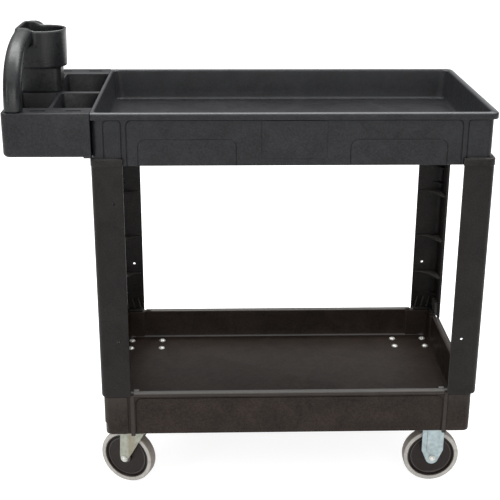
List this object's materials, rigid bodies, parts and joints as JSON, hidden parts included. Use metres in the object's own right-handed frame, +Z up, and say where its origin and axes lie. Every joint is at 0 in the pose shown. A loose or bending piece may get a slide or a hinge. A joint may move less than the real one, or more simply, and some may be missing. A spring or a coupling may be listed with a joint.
{
  "type": "rolling utility cart",
  "caption": "Two-shelf plastic utility cart: deep open trays on channel legs, a tool console with an arched push handle and cup at one end, swivel and rigid casters.",
  "frame": {"origin": "on the floor, under the middle of the cart's overall box", "axes": "+Z up, +X along the cart away from the push handle, +Y across the cart"},
  "size_m": [0.991, 0.476, 1.0168],
  "materials": {
    "upper_foam_plastic": "mottled structural foam, charcoal",
    "lower_foam_plastic": "mottled structural foam, brownish charcoal",
    "leg_plastic": "mottled structural foam, neutral charcoal",
    "hub_plastic": "satin moulded hub",
    "tyre_rubber": "light grey non-marking tread",
    "zinc_steel": "bright zinc plated pressing",
    "bolt_steel": "bright zinc plated fastener"
  },
  "bodies": {
    "cart": {"upper_tray": "upper_foam_plastic", "lower_tray": "lower_foam_plastic", "handle_console": "upper_foam_plastic", "push_handle": "upper_foam_plastic", "leg_front_left": "leg_plastic", "leg_front_right": "leg_plastic", "leg_rear_left": "leg_plastic", "leg_rear_right": "leg_plastic", "console_screw_1": "bolt_steel", "console_screw_2": "bolt_steel", "console_screw_3": "bolt_steel", "console_screw_4": "bolt_steel", "handle_screw_front": "bolt_steel", "handle_screw_rear": "bolt_steel", "front_swivel_top_plate": "zinc_steel", "front_swivel_bearing": "zinc_steel", "front_swivel_kingpin": "bolt_steel", "front_swivel_mount_bolt_1": "bolt_steel", "front_swivel_mount_bolt_2": "bolt_steel", "front_swivel_mount_bolt_3": "bolt_steel", "front_swivel_mount_bolt_4": "bolt_steel", "rear_swivel_top_plate": "zinc_steel", "rear_swivel_bearing": "zinc_steel", "rear_swivel_kingpin": "bolt_steel", "rear_swivel_mount_bolt_1": "bolt_steel", "rear_swivel_mount_bolt_2": "bolt_steel", "rear_swivel_mount_bolt_3": "bolt_steel", "rear_swivel_mount_bolt_4": "bolt_steel", "front_rigid_bracket": "zinc_steel", "front_rigid_axle_bolt": "bolt_steel", "front_rigid_axle_nut": "bolt_steel", "front_rigid_axle_sleeve": "zinc_steel", "front_rigid_mount_bolt_1": "bolt_steel", "front_rigid_mount_bolt_2": "bolt_steel", "front_rigid_mount_bolt_3": "bolt_steel", "front_rigid_mount_bolt_4": "bolt_steel", "rear_rigid_bracket": "zinc_steel", "rear_rigid_axle_bolt": "bolt_steel", "rear_rigid_axle_nut": "bolt_steel", "rear_rigid_axle_sleeve": "zinc_steel", "rear_rigid_mount_bolt_1": "bolt_steel", "rear_rigid_mount_bolt_2": "bolt_steel", "rear_rigid_mount_bolt_3": "bolt_steel", "rear_rigid_mount_bolt_4": "bolt_steel"},
    "swivel_front": {"front_swivel_fork": "zinc_steel", "front_swivel_axle_bolt": "bolt_steel", "front_swivel_axle_nut": "bolt_steel", "front_swivel_axle_sleeve": "zinc_steel"},
    "swivel_rear": {"rear_swivel_fork": "zinc_steel", "rear_swivel_axle_bolt": "bolt_steel", "rear_swivel_axle_nut": "bolt_steel", "rear_swivel_axle_sleeve": "zinc_steel"},
    "wheel_front_swivel": {"front_swivel_wheel_hub": "hub_plastic", "front_swivel_tyre": "tyre_rubber"},
    "wheel_rear_swivel": {"rear_swivel_wheel_hub": "hub_plastic", "rear_swivel_tyre": "tyre_rubber"},
    "wheel_front_rigid": {"front_rigid_wheel_hub": "hub_plastic", "front_rigid_tyre": "tyre_rubber"},
    "wheel_rear_rigid": {"rear_rigid_wheel_hub": "hub_plastic", "rear_rigid_tyre": "tyre_rubber"}
  },
  "joints": [
    {"name": "swivel_front_turn", "type": "hinge", "parent": "cart", "child": "swivel_front", "pos_m": [-0.2502, -0.1667, 0.137], "axis": [0, 0, 1], "continuous": true},
    {"name": "swivel_rear_turn", "type": "hinge", "parent": "cart", "child": "swivel_rear", "pos_m": [-0.2502, 0.1667, 0.137], "axis": [0, 0, 1], "continuous": true},
    {"name": "wheel_front_swivel_spin", "type": "hinge", "parent": "swivel_front", "child": "wheel_front_swivel", "pos_m": [-0.27597, -0.15576, 0.0635], "axis": [0.3907, 0.9205, 0], "continuous": true},
    {"name": "wheel_rear_swivel_spin", "type": "hinge", "parent": "swivel_rear", "child": "wheel_rear_swivel", "pos_m": [-0.27737, 0.17347, 0.0635], "axis": [0.2419, 0.9703, 0], "continuous": true},
    {"name": "wheel_front_rigid_spin", "type": "hinge", "parent": "cart", "child": "wheel_front_rigid", "pos_m": [0.4172, -0.1667, 0.0635], "axis": [0, 1, 0], "continuous": true},
    {"name": "wheel_rear_rigid_spin", "type": "hinge", "parent": "cart", "child": "wheel_rear_rigid", "pos_m": [0.4172, 0.1667, 0.0635], "axis": [0, 1, 0], "continuous": true}
  ]
}
